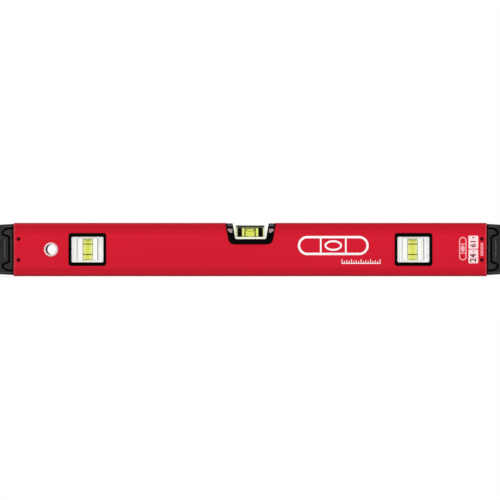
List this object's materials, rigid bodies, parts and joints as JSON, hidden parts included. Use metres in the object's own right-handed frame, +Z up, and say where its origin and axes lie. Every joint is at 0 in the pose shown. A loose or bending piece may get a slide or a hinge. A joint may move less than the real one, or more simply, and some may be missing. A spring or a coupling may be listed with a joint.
{
  "type": "spirit level",
  "caption": "Box beam spirit level with a level vial in a notch in its top edge, plumb vials in side windows, a hang hole and pull-off rubber end caps.",
  "frame": {"origin": "centre of the bottom working face", "axes": "X along the beam to the right seen from the front, Y from the front face to the rear face, Z up from the bottom working face"},
  "size_m": [0.6096, 0.03, 0.0647],
  "materials": {
    "red_paint": "satin red powder coat on an aluminium extrusion",
    "bumper_rubber": "matt moulded rubber",
    "cap_plastic": "matt moulded plastic",
    "bezel_plastic": "satin black moulding",
    "white_plastic": "white moulding",
    "clear_acrylic": "polished clear acrylic",
    "vial_fluid": "clear yellow-green liquid",
    "vial_bubble": "air bubble",
    "vial_line": "black reading ring",
    "bright_metal": "bright aluminium grommet"
  },
  "bodies": {
    "level_body": {"frame_tube": "red_paint", "left_plumb_bezel_front": "bezel_plastic", "left_plumb_bezel_rear": "bezel_plastic", "left_plumb_holder": "white_plastic", "left_plumb_block": "clear_acrylic", "left_plumb_plug_top": "clear_acrylic", "left_plumb_plug_bottom": "clear_acrylic", "left_plumb_fluid": "vial_fluid", "left_plumb_line_upper": "vial_line", "left_plumb_line_lower": "vial_line", "right_plumb_bezel_front": "bezel_plastic", "right_plumb_bezel_rear": "bezel_plastic", "right_plumb_holder": "white_plastic", "right_plumb_block": "clear_acrylic", "right_plumb_plug_top": "clear_acrylic", "right_plumb_plug_bottom": "clear_acrylic", "right_plumb_fluid": "vial_fluid", "right_plumb_line_upper": "vial_line", "right_plumb_line_lower": "vial_line", "hang_hole_rim_front": "bright_metal", "hang_hole_rim_rear": "bright_metal", "hang_hole_sleeve": "cap_plastic", "centre_vial_housing": "bezel_plastic", "centre_vial_reflector": "white_plastic", "centre_vial_block": "clear_acrylic", "centre_vial_plug_left": "clear_acrylic", "centre_vial_plug_right": "clear_acrylic", "centre_vial_fluid": "vial_fluid", "centre_vial_band_left": "vial_line", "centre_vial_band_right": "vial_line", "centre_vial_line_left": "vial_line", "centre_vial_line_right": "vial_line"},
    "left_end_cap": {"left_end_cap_bumper": "bumper_rubber", "left_end_cap_core": "cap_plastic", "left_cap_latch_front": "cap_plastic", "left_cap_latch_rear": "cap_plastic"},
    "left_plumb_bubble_body": {"left_plumb_bubble": "vial_bubble"},
    "right_end_cap": {"right_end_cap_bumper": "bumper_rubber", "right_end_cap_core": "cap_plastic", "right_cap_latch_front": "cap_plastic", "right_cap_latch_rear": "cap_plastic"},
    "right_plumb_bubble_body": {"right_plumb_bubble": "vial_bubble"},
    "centre_bubble_body": {"centre_vial_bubble": "vial_bubble"}
  },
  "joints": [
    {"name": "left_cap_pull_off", "type": "slide", "parent": "level_body", "child": "left_end_cap", "axis": [-1, 0, 0], "range_m": [0, 0.045], "deforming": ["left_cap_latch_front", "left_cap_latch_rear"]},
    {"name": "right_cap_pull_off", "type": "slide", "parent": "level_body", "child": "right_end_cap", "axis": [1, 0, 0], "range_m": [0, 0.045], "deforming": ["right_cap_latch_front", "right_cap_latch_rear"]},
    {"name": "centre_bubble_drift", "type": "slide", "parent": "level_body", "child": "centre_bubble_body", "axis": [1, 0, 0], "range_m": [-0.008, 0.008], "stiffness_N_per_m": 0.5},
    {"name": "left_plumb_bubble_rise", "type": "slide", "parent": "level_body", "child": "left_plumb_bubble_body", "axis": [0, 0, 1], "range_m": [-0.0196, 0], "stiffness_N_per_m": 2, "springref_m": 0.002},
    {"name": "right_plumb_bubble_rise", "type": "slide", "parent": "level_body", "child": "right_plumb_bubble_body", "axis": [0, 0, 1], "range_m": [-0.0196, 0], "stiffness_N_per_m": 2, "springref_m": 0.002}
  ]
}
